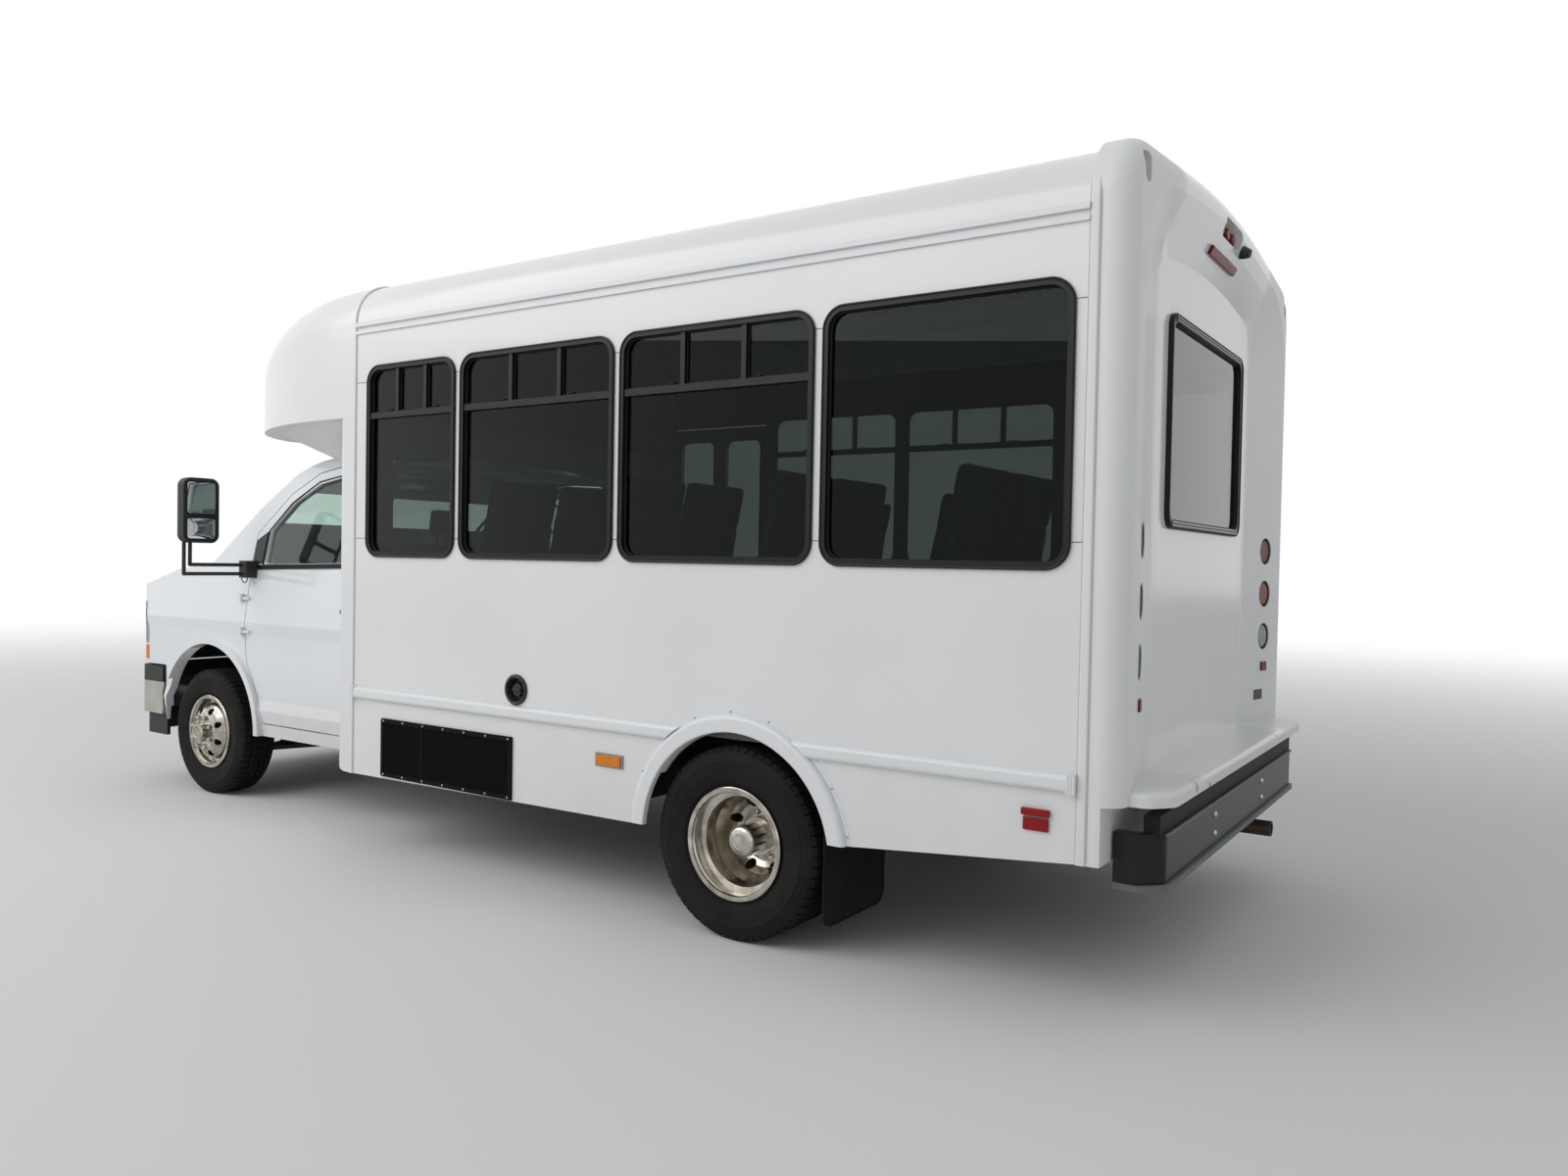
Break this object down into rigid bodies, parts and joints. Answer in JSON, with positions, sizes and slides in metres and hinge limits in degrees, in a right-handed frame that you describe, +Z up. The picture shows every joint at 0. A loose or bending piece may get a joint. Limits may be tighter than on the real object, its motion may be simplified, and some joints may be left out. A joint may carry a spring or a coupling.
{
  "type": "cutaway shuttle bus",
  "caption": "White cutaway shuttle bus with over-cab cap, dark side windows, moulded rear cap, dual rear wheels, steered front wheels and hinged doors.",
  "frame": {"origin": "on the ground under the middle of the vehicle's length and width", "axes": "+X rearward, +Y to the vehicle's right, +Z up"},
  "size_m": [6.4739, 2.784, 2.8499],
  "materials": {
    "amber_lens": "gloss",
    "black_frame": "satin",
    "black_plastic": "matte",
    "black_rubber": "matte",
    "bright_steel": "polished",
    "cast_metal": "rough",
    "chassis_black": "satin",
    "clear_glass": "clear",
    "exhaust_steel": "dull",
    "grey_trim": "matte",
    "lamp_clear": "gloss",
    "red_lens": "gloss",
    "seat_cloth": "woven",
    "tinted_glass": "tinted",
    "tyre_rubber": "matte",
    "white_gelcoat": "gloss",
    "white_paint": "gloss"
  },
  "bodies": {
    "bus_body": {"air_dam": "black_plastic", "body_floor": "grey_trim", "body_glass": "tinted_glass", "cab_floor": "grey_trim", "cab_seats": "seat_cloth", "cab_shell": "white_paint", "chassis_frame": "chassis_black", "condenser_panel": "black_frame", "dashboard": "grey_trim", "engine_block": "cast_metal", "entry_steps": "grey_trim", "exhaust": "exhaust_steel", "fenders": "white_paint", "front_bumper": "bright_steel", "front_cap": "white_gelcoat", "front_suspension": "chassis_black", "front_wall": "white_gelcoat", "fuel_filler": "black_plastic", "fuel_tank": "chassis_black", "grille": "black_plastic", "headlamps": "lamp_clear", "leaf_springs": "chassis_black", "marker_lamps": "amber_lens", "mud_flaps": "black_rubber", "passenger_seats": "seat_cloth", "prop_shaft": "exhaust_steel", "rear_axle": "cast_metal", "rear_bumper": "black_frame", "rear_cap": "white_gelcoat", "roof": "white_gelcoat", "side_trim": "white_gelcoat", "side_walls": "white_gelcoat", "tail_lamps": "red_lens", "window_frames": "black_frame", "windshield": "clear_glass"},
    "front_wheel_left": {"front_rim_left": "bright_steel", "front_tyre_left": "tyre_rubber"},
    "front_wheel_right": {"front_rim_right": "bright_steel", "front_tyre_right": "tyre_rubber"},
    "rear_wheels_left": {"rear_rims_left": "bright_steel", "rear_tyres_left": "tyre_rubber"},
    "rear_wheels_right": {"rear_rims_right": "bright_steel", "rear_tyres_right": "tyre_rubber"},
    "steered_knuckle_left": {"knuckle_left": "cast_metal"},
    "steered_knuckle_right": {"knuckle_right": "cast_metal"},
    "hand_wheel": {"steering_wheel": "black_plastic"},
    "driver_door": {"cab_door_left": "white_paint", "door_glass_left": "clear_glass", "mirror_left": "black_plastic"},
    "passenger_door": {"cab_door_right": "white_paint", "door_glass_right": "clear_glass", "mirror_right": "black_plastic"},
    "engine_hood": {"hood": "white_paint"},
    "entry_leaf_fore": {"entry_leaf_front": "black_frame", "entry_glass_front": "tinted_glass"},
    "entry_leaf_aft": {"entry_leaf_rear": "black_frame", "entry_glass_rear": "tinted_glass"}
  },
  "joints": [
    {"name": "steering_wheel_turn", "type": "hinge", "parent": "bus_body", "child": "hand_wheel", "pos_m": [-1.627, -0.45, 1.21], "axis": [0.8829, 0, 0.4695], "range_deg": [-540, 540]},
    {"name": "steer_left", "type": "hinge", "parent": "bus_body", "child": "steered_knuckle_left", "pos_m": [-2.387, -0.742, 0.368], "axis": [0, 0, 1], "range_deg": [-33, 33]},
    {"name": "steer_right", "type": "hinge", "parent": "bus_body", "child": "steered_knuckle_right", "pos_m": [-2.387, 0.742, 0.368], "axis": [0, 0, 1], "range_deg": [-33, 33]},
    {"name": "front_left_spin", "type": "hinge", "parent": "steered_knuckle_left", "child": "front_wheel_left", "pos_m": [-2.387, -0.8685, 0.368], "axis": [0, 1, 0], "continuous": true},
    {"name": "front_right_spin", "type": "hinge", "parent": "steered_knuckle_right", "child": "front_wheel_right", "pos_m": [-2.387, 0.8685, 0.368], "axis": [0, 1, 0], "continuous": true},
    {"name": "rear_left_spin", "type": "hinge", "parent": "bus_body", "child": "rear_wheels_left", "pos_m": [1.652, -0.9715, 0.368], "axis": [0, 1, 0], "continuous": true},
    {"name": "rear_right_spin", "type": "hinge", "parent": "bus_body", "child": "rear_wheels_right", "pos_m": [1.652, 0.9715, 0.368], "axis": [0, 1, 0], "continuous": true},
    {"name": "driver_door_hinge", "type": "hinge", "parent": "bus_body", "child": "driver_door", "pos_m": [-1.983, -1.013, 1], "axis": [0, 0, -1], "range_deg": [0, 65]},
    {"name": "passenger_door_hinge", "type": "hinge", "parent": "bus_body", "child": "passenger_door", "pos_m": [-1.983, 1.013, 1], "axis": [0, 0, 1], "range_deg": [0, 65]},
    {"name": "hood_hinge", "type": "hinge", "parent": "bus_body", "child": "engine_hood", "pos_m": [-2.361, 0, 1.375], "axis": [0, 1, 0], "range_deg": [0, 50]},
    {"name": "entry_fore_hinge", "type": "hinge", "parent": "bus_body", "child": "entry_leaf_fore", "pos_m": [-0.616, 1.2285, 1.3], "axis": [0, 0, 1], "range_deg": [0, 85]},
    {"name": "entry_aft_hinge", "type": "hinge", "parent": "bus_body", "child": "entry_leaf_aft", "pos_m": [0.102, 1.2285, 1.3], "axis": [0, 0, 1], "range_deg": [-85, 0]}
  ],
  "couplings": [
    {"joint": "steer_left", "follows": "steering_wheel_turn", "ratio": 0.059259},
    {"joint": "steer_right", "follows": "steering_wheel_turn", "ratio": 0.059259},
    {"joint": "entry_aft_hinge", "follows": "entry_fore_hinge", "ratio": -1}
  ]
}
